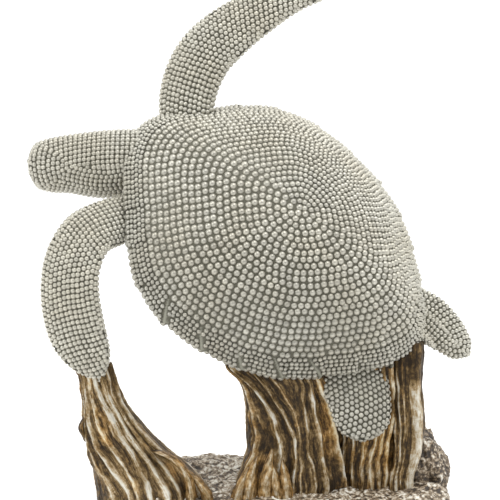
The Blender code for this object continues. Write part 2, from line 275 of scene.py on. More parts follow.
def smoothed(values, spread):
    """Rows of numbers, each taken over its neighbours, nearer ones counting more."""
    index = np.arange(len(values))
    weight = np.exp(-(((index[:, None] - index[None]) / spread) ** 2) / 2)
    return unit(weight @ values)


class Limb:
    """A limb's surface, with a flat map of its front and back: distance along it and across it."""

    def __init__(self, face, stations):
        rows = smooth_rows(stations, STATIONS)
        self.middle = LIMB_CENTRE + rows[:, :3]
        tangent = smoothed(unit(np.gradient(self.middle, axis=0)), STATIONS * BEND_SPREAD)
        self.across = unit(np.cross(tangent, np.array(face, float)))
        self.normal = unit(np.cross(self.across, tangent))
        self.size = rows[:, 3:]
        # The tip is drawn in, so that it ends round and not flat
        left = np.arange(STATIONS)[::-1] / END_STATIONS
        self.size = self.size * np.sqrt(1 - (1 - np.minimum(left, 1)) ** 2 * 0.999)[:, None]
        self.along = lengths_along(self.middle)
        angles = np.linspace(0, math.pi / 2, TURNS)
        step = np.hypot(self.size[:, :1] * np.cos(angles), self.size[:, 1:] * np.sin(angles))
        arc = np.cumsum((step[:, 1:] + step[:, :-1]) / 2 * (angles[1] - angles[0]), axis=1)
        self.arc = np.concatenate([np.zeros((STATIONS, 1)), arc], axis=1)
        self.angles = angles
        self.half = self.arc[:, -1]

    def at(self, along, tilt):
        """The surface at a distance along the limb, and an angle from the middle of its face to its edge."""
        middle, across, normal = (
            np.stack([np.interp(along, self.along, column) for column in rows.T], -1)
            for rows in (self.middle, self.across, self.normal)
        )
        across, normal = unit(across), unit(normal)
        wide, thick = (np.interp(along, self.along, column) for column in self.size.T)
        sine, cosine = np.sin(tilt), np.cos(tilt)
        point = middle + across * (wide * sine)[..., None] + normal * (thick * cosine)[..., None]
        out = across * (thick * sine)[..., None] + normal * (wide * cosine)[..., None]
        return point, unit(out)

    def on_face(self, along, aside, back):
        """Points of the flat map on the limb's front or back, with their normals."""
        tilt = np.zeros(len(along))
        for i, (s, d) in enumerate(zip(along, aside)):
            row = int(np.clip(np.searchsorted(self.along, s), 0, STATIONS - 1))
            share = min(1.0, abs(d) / max(self.half[row], 1e-6))
            tilt[i] = math.copysign(np.interp(share * self.half[row], self.arc[row], self.angles), d)
        if back:
            tilt = math.pi - tilt
        point, out = self.at(np.asarray(along), tilt)
        ahead, behind = (self.at(np.asarray(along) + step, tilt)[0] for step in (FACE_STEP, -FACE_STEP))
        forward = unit(ahead - behind)
        return point, unit(out - forward * np.sum(out * forward, -1, keepdims=True))

    def skin(self, around=44):
        tilt = np.linspace(0, math.tau, around, endpoint=False)
        along = np.repeat(self.along, around)
        point, _ = self.at(along, np.tile(tilt, STATIONS))
        return point, outward(point, wrapped(STATIONS, around))

    def lattice(self, pitch_along, pitch_across, slant, contour, staggered):
        """Bead places on the flat map: a row along its edge, and the rows inside it."""
        edge_s = np.arange(self.along[0], self.along[-1], OUTLINE_STEP)
        edge_d = np.interp(edge_s, self.along, self.half)
        outline = np.concatenate([np.stack([edge_s, edge_d], 1), np.stack([edge_s, -edge_d], 1)[::-1]])
        edge = walk(outline, pitch_along)
        places = []
        if contour:
            tangent = unit(np.gradient(outline, axis=0))
            inward = np.stack([tangent[:, 1], -tangent[:, 0]], 1)
            for row in range(1, 12):
                inside = outline + inward * (row * pitch_across)
                apart = np.linalg.norm(inside[:, None] - outline[None], axis=2).min(1)
                inside = inside[apart > row * pitch_across - RING_SLACK]
                if len(inside) > 6:
                    places.append(walk(inside, pitch_along))
            return edge, np.concatenate(places)
        if not slant:
            edge = self.walked(edge_s, edge_d, pitch_along, 0.0)
            return edge, self.rows(pitch_along, pitch_across, staggered)
        sine, cosine = math.sin(math.radians(slant)), math.cos(math.radians(slant))
        reach = int(2 * self.along[-1] / pitch_along)
        steps = np.arange(-reach, reach + 1)
        row, step = (way.ravel() for way in np.meshgrid(steps, steps, indexing="ij"))
        s = step * pitch_along + row % 2 * (pitch_along / 2 if staggered else 0.0)
        d = row * pitch_across
        grid = np.stack([s * cosine - d * sine, s * sine + d * cosine], 1)
        grid = grid[(grid[:, 0] > self.along[0]) & (grid[:, 0] < self.along[-1])]
        room = np.interp(grid[:, 0], self.along, self.half) - SLANT_ROOM * pitch_across
        grid = grid[np.abs(grid[:, 1]) < room]
        apart = np.linalg.norm(grid[:, None] - edge[None], axis=2).min(1)
        return edge, grid[apart > OUTLINE_ROOM * pitch_across]

    def filled(self, places, apart, back):
        """The bead places, with one more in every hole of the front or back that has room for a bead."""
        end = self.along[-1]
        s = np.concatenate([np.arange(self.along[0], end - 2, 0.7), end - np.geomspace(2, TIP, 12)])
        aside = np.linspace(-1, 1, TRIES_ACROSS) * np.interp(s, self.along, self.half)[:, None]
        spots = np.stack([np.repeat(s, TRIES_ACROSS), aside.ravel()], 1)
        there, _ = self.on_face(*spots.T, back)
        taken, _ = self.on_face(*places.T, back)
        room = np.full(len(spots), FAR)
        for point in taken:
            room = np.minimum(room, np.linalg.norm(there - point, axis=1))
        added = []
        while room.max() > apart:
            best = int(room.argmax())
            added.append(spots[best])
            room = np.minimum(room, np.linalg.norm(there - there[best], axis=1))
        return np.concatenate([places, added]) if added else places

    def walked(self, s, d, pitch, start):
        """Places at even steps over the surface along a line of the flat map and its mirror line."""
        lines = [np.stack([s, sign * d], 1) for sign in (1, -1)]
        return np.concatenate([walk(line, pitch, start, self.on_face(*line.T, False)[0]) for line in lines])

    def rows(self, pitch_along, pitch_across, staggered):
        """Bead places in rows along the limb, each with even steps of its own."""
        s = np.arange(self.along[0], self.along[-1], FACE_STEP)
        half = np.interp(s, self.along, self.half)
        places = []
        for row in range(int(half.max() / pitch_across) + 1):
            d = row * pitch_across
            room = d < half - ROW_ROOM * pitch_across
            edges = np.flatnonzero(np.diff(np.concatenate([[False], room, [False]]).astype(int)))
            for first, last in zip(edges[::2], edges[1::2]):
                if last - first > 3:
                    start = pitch_along * (0.5 * (staggered and row % 2) + 0.2 * rng.uniform())
                    line = self.walked(s[first:last], np.full(last - first, d), pitch_along, start)
                    places.append(line if row else line[: len(line) // 2])
        return np.concatenate(places)


def walk(line, pitch, start=0.0, over=None):
    """Points at even steps along a line, or with the steps even over another line point for point."""
    length = lengths_along(line if over is None else over)
    at = np.arange(start, length[-1], pitch)
    return np.stack([np.interp(at, length, column) for column in line.T], -1)


# Beads
def dome_form(segments, polar):
    """A bead's own points and faces: a top at z 1 and a ring of points at each polar angle below it."""
    points, faces = [(0.0, 0.0, 1.0)], []
    for angle in polar:
        a = math.radians(angle)
        for i in range(segments):
            t = math.tau * i / segments
            points.append((math.sin(a) * math.cos(t), math.sin(a) * math.sin(t), math.cos(a)))
    for i in range(segments):
        faces.append((0, 1 + i, 1 + (i + 1) % segments))
    for ring in range(len(polar) - 1):
        at = 1 + ring * segments
        for i in range(segments):
            after = (i + 1) % segments
            faces.append((at + i, at + segments + i, at + segments + after, at + after))
    last = 1 + (len(polar) - 1) * segments
    faces.append(tuple(last + i for i in range(segments - 1, -1, -1)))
    return np.array(points), faces


# A bead as it is seen, and a plainer one for the belly
BEAD = dome_form(10, (28, 58, 92))
PLAIN_BEAD = dome_form(8, (34, 64, 92))
# How uneven beads are: in radius, in lean and in place, as shares of the radius
UNEVEN, LEAN, SLIDE = 0.035, 0.05, 0.05


def beads(name, tops, normals, radii, shade, kind):
    """One piece with a bead below each given top, each bead's paint a little lighter or darker at random, and
    darker or lighter by the painted shade given.
    """
    own_form, own_faces = kind
    count = len(tops)
    jitter = rng.normal(0, 1, (count, 3))
    radii = radii * (1 + UNEVEN * jitter[:, 0])
    normals = unit(normals + LEAN * rng.normal(0, 1, (count, 3)))
    side = unit(np.cross(normals, (0.31, 0.17, 0.93)))
    other = np.cross(normals, side)
    slide = SLIDE * radii[:, None] * (side * jitter[:, 1:2] + other * jitter[:, 2:3])
    centre = tops - normals * radii[:, None] + slide
    form = own_form[None] * radii[:, None, None]
    points = centre[:, None] + form[..., :1] * side[:, None] + form[..., 1:2] * other[:, None]
    points = points + form[..., 2:] * normals[:, None]
    size = len(own_form)
    faces = [tuple(bead * size + corner for corner in face) for bead in range(count) for face in own_faces]
    # Each bead's tone: a random step, plus the painted shade given for its part
    tone = np.repeat(rng.normal(0, 1, count) + shade, size)
    rise = np.tile(own_form[:, 2], count)
    return mesh_of(name, points.reshape(-1, 3), faces, {"tone": tone, "rise": rise})


# A bead's radius against half its pitch, so that neighbours just run into each other
BEAD_SPREAD = 1.12
# The shell's beads lie in rows along the rim: small ones on the marginal scutes, larger ones inside
MARGIN_ROWS = 5
MARGIN_PITCH = (3.05, 2.78)
MARGIN_BEAD = 1.60
DOME_PITCH = (4.2, 3.97)
DOME_BEAD = 2.25
# How much closer the dome's beads lie on its far side
FAR_FINER = 0.28
# Where the first row lies from the rim, and what is added before the dome's and the belly's rows, in mm
FIRST_ROW = 1.5
GROOVE, BELLY_GAP = -0.8, 0.3
# How much of a gap is left before the first of those rows
ROW_START = 0.35
# The shell beads' painted shade on the dome's top, and how much more painted shade they get at the near rim
# and how much painted light at the far rim
SHELL_PAINTED_SHADE, NEAR_RIM_PAINTED_SHADE, FAR_RIM_PAINTED_LIGHT = -1.3, 2.7, 1.5
# The slits: length, half width and lean, and the first and last scute that has one
SLIT_LENGTH = 14.0
SLIT_WIDTH = 1.35
SLIT_LEAN = 0.68
SLITS = (5, 9)
# The smooth leaf in a slit: how far past the slit's sides it reaches, and how high it stands in mm
LEAF_WIDER = 0.35
LEAF_RISE = 0.85
# The shell's radius for measuring along the rim
RIM_RADIUS = 90.0


def slit_reach(turn, distance):
    """How far into a slit between two scutes a place is, 1 on its middle line, and how far outside in mm."""
    step = math.pi / SCUTES_PER_SIDE
    radius = RIM_RADIUS * np.where(np.sin(turn) > 0, 1.0, FAR_HALF)
    lean = SLIT_LEAN * distance
    place = np.abs(turn) + lean / radius
    number = np.clip(np.round((place - FIRST_SCUTE) / step), *SLITS)
    off = np.abs(place - FIRST_SCUTE - number * step) * radius
    width = SLIT_WIDTH * np.clip(1 - distance / SLIT_LENGTH, 0, 1) ** 0.7 * (np.sin(turn) > 0)
    slit = width > 0.05
    return np.where(slit, 1 - off / np.maximum(width, 0.05), -FAR), np.where(slit, off - width, FAR)


def meridians(side, samples=161, turns=481):
    """The shell's surface read from the rim to its top or its belly, and the distance from the rim."""
    turn = np.linspace(-math.pi, math.pi, turns)
    height = side * np.linspace(0.0, 1.0, samples)
    points = shell_points(turn[None, :], height[:, None])
    steps = np.linalg.norm(np.diff(points, axis=0), axis=2)
    distance = np.concatenate([np.zeros((1, turns)), np.cumsum(steps, axis=0)])
    return turn, height, distance


def shell_beads(side, margin_rows):
    """Bead places on the dome or the belly: tops, normals, radii, whether on the margin, and painted shade.
    """
    turn, height, distance = meridians(side)
    full = distance[-1]
    start = FIRST_ROW + margin_rows * MARGIN_PITCH[1] + (GROOVE if margin_rows else BELLY_GAP)
    rows = int(round((full.mean() - start) / DOME_PITCH[1]))
    found = []
    for row in range(margin_rows + rows):
        margin = row < margin_rows
        if margin:
            reach = np.full(len(turn), FIRST_ROW + row * MARGIN_PITCH[1])
            gap = np.full(len(turn), MARGIN_PITCH[1])
        else:
            gap = (full - start) / rows
            reach = start + gap * (row - margin_rows + ROW_START)
        at_height = np.array([np.interp(reach[i], np.abs(distance[:, i]), height) for i in range(len(turn))])
        line = shell_points(turn, at_height)
        length = lengths_along(line)
        finer = 0.0 if margin or side < 0 else FAR_FINER
        along = (MARGIN_PITCH[0] if margin else DOME_PITCH[0]) * (1 - finer * np.clip(-np.sin(turn), 0, 1))
        steps = np.concatenate([[0], np.cumsum(np.diff(length) * 2 / (along[1:] + along[:-1]))])
        count = max(1, int(round(steps[-1])))
        at = (np.arange(count) + rng.uniform()) / count * steps[-1] % steps[-1]
        places = [np.interp(at, steps, values) for values in (turn, at_height, reach, gap, along)]
        size = MARGIN_BEAD if margin else DOME_BEAD
        limit = 0.5 * np.minimum(places[3], places.pop() * steps[-1] / count)
        radius = np.minimum(size, limit * BEAD_SPREAD)
        found.append(np.stack(places[:3] + [radius, np.full(count, float(margin))], 1))
    found = np.concatenate(found)
    if margin_rows:
        outside = slit_reach(found[:, 0], found[:, 2])[1]
        found = found[(outside > 0.5 * found[:, 3]) | (found[:, 2] > SLIT_LENGTH)]
    aside = np.sin(found[:, 0])
    # Painted shade, deeper towards the near rim, and painted light towards the far rim
    rim_painted_light = np.where(aside > 0, NEAR_RIM_PAINTED_SHADE, FAR_RIM_PAINTED_LIGHT)
    shade = SHELL_PAINTED_SHADE - rim_painted_light * aside * (1 - np.abs(found[:, 1]))
    tops, normals = shell_points(found[:, 0], found[:, 1]), shell_normals(found[:, 0], found[:, 1])
    return tops, normals, found[:, 3], found[:, 4], shade


def shell_skin(columns=640):
    """The skin between the shell's beads, with a smooth leaf in each slit."""
    turn = np.linspace(-math.pi, math.pi, columns, endpoint=False)
    near = np.linspace(0, SLIT_LENGTH + 2, 25)
    rim_turn, rim_height, distance = meridians(1)
    per_turn = np.array([np.interp(near, column, rim_height) for column in distance.T])
    heights = [np.interp(turn, rim_turn, column) for column in per_turn.T[1:]]
    last = heights[-1]
    upper = [last + (0.995 - last) * share for share in np.linspace(0, 1, 26)[1:]]
    under = (-0.995, -0.9, -0.8, -0.7, -0.6, -0.5, -0.4, -0.3, -0.2, -0.12, -0.05, 0.0)
    lower = [np.full(columns, height) for height in under]
    levels = lower + heights + upper
    points = np.concatenate([shell_points(turn, level) for level in levels])
    faces = outward(points, wrapped(len(levels), columns))
    reach = np.full(len(levels), FAR)
    reach[len(lower) - 1 : len(lower) - 1 + len(near)] = near
    reach, every = np.repeat(reach, columns), np.tile(turn, len(levels))
    leaf = np.where(reach < SLIT_LENGTH, np.clip(slit_reach(every, reach)[0] + LEAF_WIDER, 0, 1), 0.0)
    depth = SKIN_DEPTH - LEAF_RISE * np.sqrt(leaf)
    return points, faces, points - skin_normals(points, faces) * depth[:, None], leaf


# Every part's own surface, against which its neighbours' beads are tested
limbs = {name: Limb(*given) for name, given in LIMBS.items()}
raw_shell, raw_faces, sunk_shell, leaf = shell_skin()
surfaces = {"shell": (raw_shell, raw_faces), **{name: limb.skin() for name, limb in limbs.items()}}
trees = {
    name: BVHTree.FromPolygons([Vector(p) for p in points], faces)
    for name, (points, faces) in surfaces.items()
}
# The way of the line that tells whether a place is inside a part
LOOK = Vector((0.13, -0.93, 0.34)).normalized()
# As shares of a bead's radius: how far below its top it is tested, and how deep in another part that
# place has to be for the bead to be left out
BEAD_MIDDLE, SUNK = 0.6, 1.15


def inside(tree, place):
    """Whether a place is inside a closed skin: a line from it crosses the skin an odd number of times."""
    crossings = 0
    while crossings < 20:
        hit = tree.ray_cast(place, LOOK)[0]
        if hit is None:
            break
        crossings += 1
        place = hit + LOOK * 0.01
    return crossings % 2 == 1


def clear_of_others(own, points, radii):
    """Which beads' middles aren't inside another part."""
    others = [tree for name, tree in trees.items() if name != own]
    keep = []
    for place, radius in zip(map(Vector, points), radii):
        sunk = (t.find_nearest(place)[3] > SUNK * radius and inside(t, place) for t in others)
        keep.append(not any(sunk))
    return np.array(keep)


def beads_on(name, own, tops, normals, radii, shade, kind=BEAD):
    """A piece with those of a part's beads that aren't sunk in another part."""
    keep = clear_of_others(own, tops - normals * radii[:, None] * BEAD_MIDDLE, radii)
    return beads(name, tops[keep], normals[keep], radii[keep], shade[keep], kind)


bead_pieces, skin_pieces = [], []
tops, normals, radii, margin, shade = shell_beads(1, MARGIN_ROWS)
for name, part in (("shell_beads", margin < 0.5), ("marginal_beads", margin > 0.5)):
    bead_pieces.append(beads_on(name, "shell", tops[part], normals[part], radii[part], shade[part]))
tops, normals, radii, _, shade = shell_beads(-1, 0)
bead_pieces.append(beads_on("belly_beads", "shell", tops, normals, radii, shade, PLAIN_BEAD))
skin_pieces.append(mesh_of("shell_skin", sunk_shell, raw_faces, {"leaf": leaf}))
for name, limb in limbs.items():
    pitch_along, pitch_across, radius, slant, contour, staggered = BEAD_LAY[name]
    edge, inner = limb.lattice(pitch_along, pitch_across, slant, contour, staggered)
    places = np.concatenate([edge, inner])
    places = places[places[:, 0] < limb.along[-1] - TIP]
    kept = int((edge[:, 0] < limb.along[-1] - TIP).sum())
    seen = limb.filled(places, HOLE * pitch_across, False)
    front = limb.on_face(*seen.T, False)
    back = limb.on_face(*limb.filled(places, HOLE * pitch_across, True)[kept:].T, True)
    tops = np.concatenate([front[0], back[0]])
    normals = np.concatenate([front[1], back[1]])
    # Each limb's painted shade on its beads
    shade = np.full(len(tops), BEAD_PAINTED_SHADE.get(name, 0.0))
    bead_pieces.append(beads_on(name + "_beads", name, tops, normals, np.full(len(tops), radius), shade))
    points, faces = surfaces[name]
    moved = points - skin_normals(points, faces) * LIMB_SKIN_DEPTH
    skin_pieces.append(mesh_of(name + "_skin", moved, faces, {"leaf": np.zeros(len(points))}))


# The base: stems with flutes that follow their ridge lines, on a granular rock

# Stem stations in mm: x, y, z, half width, half depth
LEFT_STEM = [
    (-91.5, -10, 88, 11, 5), (-88, -11, 80, 10.7, 7), (-86, -11, 70, 11.5, 8.5),
    (-82, -11, 59, 14.5, 10), (-77, -11, 48, 19, 12), (-72, -12, 40, 22.5, 14.5),
    (-66, -12, 31, 27, 18), (-60, -13, 22, 30.5, 22), (-56, -14, 13, 33, 26),
    (-54.5, -14, 6, 34, 27),
]
MAIN_STEM = [
    (20, -14, 100, 34, 11), (17, -14, 87, 31, 11.5), (23, -13, 76, 28.5, 12), (25, -11, 63, 28, 12),
    (25.5, -9, 50, 27.5, 13), (25.5, -8, 38, 27.5, 14), (25, -8, 27, 30, 16),
    (24.5, -8, 17, 32.5, 18), (24.5, -8, 7, 34, 19),
]
WALL_STEM = [
    (64, -1, 103, 19, 9), (66, 0, 80, 20, 10), (67, 0, 55, 20, 11), (67, 0, 30, 21, 12),
    (67, 0, 8, 23, 14),
]
RIGHT_STEM = [
    (90, 4, 98, 11.5, 7), (90.5, 2, 84, 10.5, 7.5), (90.5, 0, 72, 9.5, 8), (91.5, -2, 58, 10, 8.5),
    (91.5, -3, 45, 10, 9), (90, -4, 32, 9.5, 9.5), (87, -4, 20, 9.5, 10), (87, -4, 7, 11, 12),
]
# A stem's ridges on the side that is seen: how high each stands, how rounded it is, how far silver
# and gold paint reach down its flanks, and its place across the stem, from -1 to 1, at each level
STEMS = {
    "left_stem": (LEFT_STEM, (84, 70, 60, 50, 40, 30, 20, 6), [
        (0.6, 1.0, 0.35, 0.5, (-0.70, -0.77, -0.88, -0.93, -0.92, -0.79, -0.70, -0.62)),
        (1.0, 1.1, 0.60, 0.1, (-0.60, -0.62, -0.72, -0.73, -0.68, -0.48, -0.39, -0.30)),
        (0.6, 1.0, 0.30, 0.9, (-0.40, -0.42, -0.42, -0.43, -0.33, -0.20, -0.24, -0.18)),
        (1.0, 1.0, 0.55, 0.1, (-0.15, 0.04, 0.15, 0.13, 0.14, 0.12, 0.04, 0.00)),
        (1.0, 1.2, 0.60, 0.0, (0.30, 0.42, 0.44, 0.41, 0.40, 0.38, 0.33, 0.24)),
        (0.7, 1.0, 0.35, 0.3, (0.62, 0.59, 0.61, 0.62, 0.63, 0.62, 0.54, 0.46)),
        (1.0, 1.3, 0.42, 0.2, (0.95, 0.90, 0.83, 0.80, 0.84, 0.92, 0.84, 0.74)),
    ], 6, (150, 300)),
    "main_stem": (MAIN_STEM, (86, 76, 66, 56, 46, 36, 26, 10), [
        (0.7, 1.0, 0.40, 0.8, (-0.985, -0.95, -0.90, -0.85, -0.80, -0.85, -0.90, -0.92)),
        (1.0, 1.0, 0.40, 0.1, (-0.90, -0.80, -0.58, -0.40, -0.29, -0.24, -0.30, -0.34)),
        (1.0, 0.9, 0.30, 0.1, (-0.52, -0.49, -0.32, -0.13, 0.00, 0.05, 0.01, -0.02)),
        (0.4, 1.0, 0.18, 0.6, (-0.25, -0.18, -0.07, 0.04, 0.10, 0.13, 0.14, 0.16)),
        (0.8, 0.9, 0.25, 0.2, (0.27, 0.24, 0.22, 0.22, 0.24, 0.31, 0.40, 0.40)),
        (1.0, 1.0, 0.45, 0.1, (0.39, 0.40, 0.43, 0.47, 0.51, 0.57, 0.60, 0.62)),
        (1.0, 1.0, 0.35, 0.9, (0.56, 0.60, 0.69, 0.79, 0.90, 0.94, 0.94, 0.92)),
    ], 7, (150, 320)),
    "wall_stem": (WALL_STEM, (100, 60, 48, 40, 30, 20, 8), [
        (0.6, 1.0, 0.25, 0.6, (-0.86, -0.86, -0.86, -0.85, -0.85, -0.85, -0.85)),
        (0.7, 1.0, 0.25, 0.7, (-0.58, -0.60, -0.62, -0.63, -0.60, -0.59, -0.59)),
        (0.5, 1.0, 0.20, 0.8, (-0.30, -0.32, -0.34, -0.34, -0.34, -0.35, -0.35)),
        (0.8, 1.0, 0.30, 0.8, (0.02, 0.00, -0.02, -0.04, -0.09, -0.10, -0.12)),
        (0.7, 1.0, 0.35, 0.7, (0.34, 0.30, 0.26, 0.20, 0.10, 0.11, 0.16)),
        (0.8, 1.0, 0.40, 0.9, (0.58, 0.56, 0.52, 0.40, 0.31, 0.32, 0.38)),
        (0.9, 1.0, 0.40, 0.9, (0.80, 0.78, 0.70, 0.60, 0.52, 0.50, 0.55)),
    ], 4, (100, 190)),
    "right_stem": (RIGHT_STEM, (96, 84, 70, 58, 46, 36, 24, 12), [
        (0.8, 1.0, 0.30, 0.7, (-0.84, -0.84, -0.83, -0.81, -0.74, -0.62, -0.56, -0.50)),
        (0.8, 1.0, 0.25, 0.3, (-0.52, -0.52, -0.52, -0.50, -0.48, -0.40, -0.32, -0.24)),
        (0.3, 1.0, 0.10, 0.6, (-0.22, -0.22, -0.22, -0.22, -0.22, -0.16, -0.08, 0.00)),
        (1.2, 2.2, 1.50, -0.9, (0.45, 0.45, 0.47, 0.50, 0.52, 0.55, 0.56, 0.56)),
    ], 3, (140, 150)),
}
RIDGE_DEPTH = 4.0
# A ridge at a stem's back: its height, roundness, and the reach of its silver and gold paint
BACK_RIDGE = (0.7, 0.0, 0.9, 0.6)
# How far a stem's ridges stand out of its solid
STEM_SWELL = 1.6
# How light each stem is between its ridges
STEM_TONE = {"left_stem": 0.30, "main_stem": 0.26, "wall_stem": 0.23, "right_stem": 0.23}
# Golden places on the near side: x and z of the middle, half width, half height, how golden, how much lighter
GOLDEN = [
    (45.5, 52, 5.5, 18, 1.5, 0.32),
    (-75, 28, 5, 10, -0.6, 0.26),
    (8, 27, 14, 10, 0.9, 0.10),
    (74.6, 41, 7, 12, 0.8, 0.12),
    (99, 83, 4, 12, 1.0, 0.08),
    (-81, 56, 6, 16, 0.4, 0.08),
    (-41, 30, 8, 9, 1.0, 0.15),
]
# The smooth pale ridge is bare below this height, and brown wash covers it above
PALE_TOP = 78.0


def sharp_lines(*place):
    """Thin lines where smooth noise passes through nothing: 1 on a line and 0 away from it."""
    return max(0.0, 1 - 3.4 * abs(ripple(*place))) ** 2


def stem_piece(name):
    """A stem's skin, with how light and how golden it is painted at each place, and painted shade near its
    top, under the shell, on all but the left stem.
    """
    stations, levels, ridges, back_count, (count, around) = STEMS[name]
    rows = smooth_rows(stations, count)
    rows = np.vstack([rows, rows[-1] + (0, 0, -rows[-1][2] + 2, 0, 0)])
    angles = np.linspace(0, math.tau, around, endpoint=False)
    order = np.argsort(levels)
    shares = [np.interp(rows[:, 2], np.array(levels)[order], np.array(r[4])[order]) for r in ridges]
    back = [math.pi * (k + 0.5) / back_count for k in range(back_count)]
    total = len(ridges) + back_count
    own = [(r[0], held(4 * (r[1] - 1.0)), 0.5 + 3.4 * (r[2] - 0.2), r[3]) for r in ridges]
    heights, broads, widths, golds = zip(*([BACK_RIDGE] * back_count + own))
    points, tone, gold, flow = [], [], [], []
    seed = 11.0 * list(STEMS).index(name)
    top, light = rows[0][2], STEM_TONE[name]
    for i, (x, y, z, wide, deep) in enumerate(rows):
        drift = 0.25 * math.sin(z / 17.0 + seed)
        marks = [b + 0.5 * drift * math.sin(b) for b in back]
        marks += [math.tau - math.acos(max(-0.995, min(0.995, share[i]))) for share in shares]
        closed = [marks[-1] - math.tau] + marks + [marks[0] + math.tau]
        for angle in angles:
            cosine, sine = math.cos(angle), math.sin(angle)
            place = angle + 0.07 * ripple(cosine * 2 + seed, sine * 2, z / 11)
            k = int(np.clip(np.searchsorted(closed, place) - 1, 0, total))
            gap = closed[k + 1] - closed[k]
            phase = held((place - closed[k]) / gap)
            near, other = (k - 1) % total, k % total
            if phase >= 0.5:
                near, other = other, near
            away = 2 * min(phase, 1 - phase)
            mix = 0.5 * away
            height, broad, warmth = (
                kind[near] * (1 - mix) + kind[other] * mix for kind in (heights, broads, golds)
            )
            ring = math.tau * (k - 1 + phase) / total
            line = Vector((math.cos(ring), math.sin(ring), 0)) * (total / math.tau)
            strand = sharp_lines(line.x * 2.0 + seed, line.y * 2.0, z / 24)
            thread = sharp_lines(line.x * 4.4 - seed, line.y * 4.4, z / 12)
            here = Vector((x + wide * cosine, y + deep * sine, z))
            crumb = noise.noise(here / 1.9)
            lump = ripple(line.x * 0.8 + seed, line.y * 0.8, z / 9)
            calm = 1 - 0.75 * broad
            narrow = min(1.0, gap * wide / 9.0) * min(1.0, deep / 9.0)
            low = (1 - broad) * (1 - (1 - away) ** 2.3) + broad * away**2
            cut = RIDGE_DEPTH * narrow * (height * low + (1 - heights[near]) * 0.5 * (1 - away))
            cut -= calm * away * (0.9 * strand + 0.45 * thread)
            cut += 0.9 * lump + 0.3 * calm * crumb - STEM_SWELL
            points.append((x + (wide - cut) * cosine, y + (deep - cut) * sine, z))
            worn = 0.75 + 0.7 * ripple(line.x * 0.9, line.y * 0.9 + seed, z / 7)
            worn = worn * (1 - broad) + 0.82 * broad * held((PALE_TOP - z) / 8)
            reach = widths[near] * (0.7 + 0.6 * worn)
            off = away * 0.5 * gap * wide
            brushed = (0.30 + 0.32 * heights[near]) * worn * math.exp(-((off / reach) ** 2))
            # Painted shade where the shell overhangs the stem's top, on all but the left stem
            under = 0.16 * math.exp(-(((z - top + 6) / 12) ** 2)) if name != "left_stem" else 0.0
            value = light + brushed + calm * (0.24 * strand + 0.20 * thread) - 0.25 * away * calm - under
            if sine < 0:
                for across, up, half, tall, golden, lighter in GOLDEN:
                    share = math.exp(-(((here.x - across) / half) ** 2) - ((z - up) / tall) ** 2)
                    warmth += golden * share
                    value += lighter * share
            tone.append(value + 0.12 * lump * calm)
            gold.append(warmth)
            flow.append((line.x + seed, line.y, z / 8))
    faces = outward(points, wrapped(len(rows), around))
    return mesh_of(name, points, faces, {"tone": tone, "gold": gold, "flow": flow})


# Shards of the same paint at the feet of the stems: x, y, z, half width and half depth along each
SHARDS = [
    [
        (-53, -28, 40, 4, 3), (-44, -32, 36.5, 3.2, 3), (-38, -34, 31, 2.8, 3),
        (-34.8, -35, 25, 3, 3), (-33.8, -36, 9, 3, 3),
    ],
    [(-36, -29, 29, 1.6, 2), (-30, -32, 24, 3, 3), (-25, -34, 17, 3.4, 3), (-23, -35, 9, 3, 3)],
    [(4.2, -24, 36, 0.7, 0.7), (1.6, -26, 29, 3.0, 2), (-0.6, -28, 20, 4.6, 3), (-1, -30, 12, 4.6, 3)],
    [(12.6, -24, 40, 0.7, 0.7), (11, -26, 31, 3.2, 2), (9.2, -28, 20, 4.8, 3), (9, -30, 12, 4.8, 3)],
    [(12.4, -25, 33, 0.7, 0.7), (14, -27, 26, 2.6, 2), (15.2, -29, 18, 3.8, 3), (16, -30, 12, 3.8, 3)],
    [(-1, -25, 30, 0.7, 0.7), (-3.6, -27, 24, 2.6, 2), (-6.2, -29, 18, 3.8, 3), (-7.5, -30, 12, 3.8, 3)],
    [(18.4, -24, 34, 0.7, 0.7), (19.6, -26, 27, 2.6, 2), (20.6, -28, 19, 3.6, 3), (21, -30, 12, 3.6, 3)],
    [(-95, -13, 57, 1, 1.5), (-96.5, -14, 51, 2.2, 2), (-94.5, -14, 43, 1.2, 2)],
]
# Shards that are left brown, how light they and the others are, and how far a shard's front edge stands out
DARK_SHARDS = (7,)
BROWN, LIGHT = 0.05, 0.36
SHARD_EDGE = 1.2


def shard_piece(number, stations, count=60, around=28):
    """A small tapered shard with a sharp front edge."""
    rows = smooth_rows(stations, count)
    light = BROWN if number in DARK_SHARDS else LIGHT
    points, tone, gold, flow = [], [], [], []
    for x, y, z, wide, deep in rows:
        for i in range(around):
            angle = math.tau * i / around
            cosine, sine = math.cos(angle), math.sin(angle)
            edge = max(0.0, -sine) ** 6
            uneven = 1.0 + 0.3 * ripple(cosine * 1.6, sine * 1.6 + 5 * number, z / 4)
            points.append((x + wide * uneven * cosine, y + deep * uneven * sine - SHARD_EDGE * edge, z))
            tone.append(light + 0.32 * edge + 0.34 * noise.noise(Vector((x, z, 9 * angle)) / 3))
            gold.append(1.3 - 0.7 * edge)
            flow.append((3 * angle / math.pi, 5.0 * number, z / 8))
    faces = outward(points, wrapped(count, around))
    return mesh_of(f"shard_{number}", points, faces, {"tone": tone, "gold": gold, "flow": flow})


def rock_top(x, y):
    """The rock's height at a place, as in the solids."""
    back = y / BASE_DEPTH + 0.5
    hill = math.exp(-((x + 30) ** 2 / 30**2 + (y - 30) ** 2 / 20**2))
    broad = noise.noise(Vector((x, y, 300)) / 16)
    fine = noise.noise(Vector((x, y, 4100)) / 7)
    return BASE_THICKNESS * (0.62 + 0.42 * back + 0.16 * hill + 0.10 * broad + 0.06 * fine)


# 2 makes the rock's outline an ellipse, and more makes it squarer
SQUARENESS = 2.8


